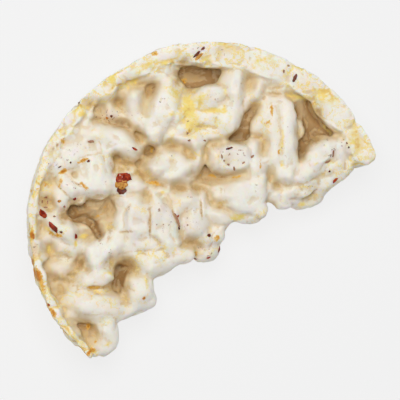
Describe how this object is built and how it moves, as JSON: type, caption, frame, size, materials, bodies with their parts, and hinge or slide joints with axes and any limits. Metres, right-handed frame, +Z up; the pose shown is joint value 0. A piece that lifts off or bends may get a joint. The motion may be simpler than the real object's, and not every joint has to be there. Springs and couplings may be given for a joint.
{
  "type": "puffed rice cake",
  "caption": "Broken piece of a round puffed grain cake: a pressed rim along its arc, swollen grains with creases and pockets, and a ragged broken side; a light snack to eat by hand.",
  "frame": {"origin": "middle of the piece's box in plan, on the level underside", "axes": "+Z up through the thickness, +X along the long side of the piece, +Y away from the broken side towards the rim"},
  "size_m": [0.0916, 0.0826, 0.015],
  "materials": {
    "puffed_grain": null
  },
  "bodies": {
    "root": {"rice_cake": "puffed_grain"}
  },
  "joints": []
}
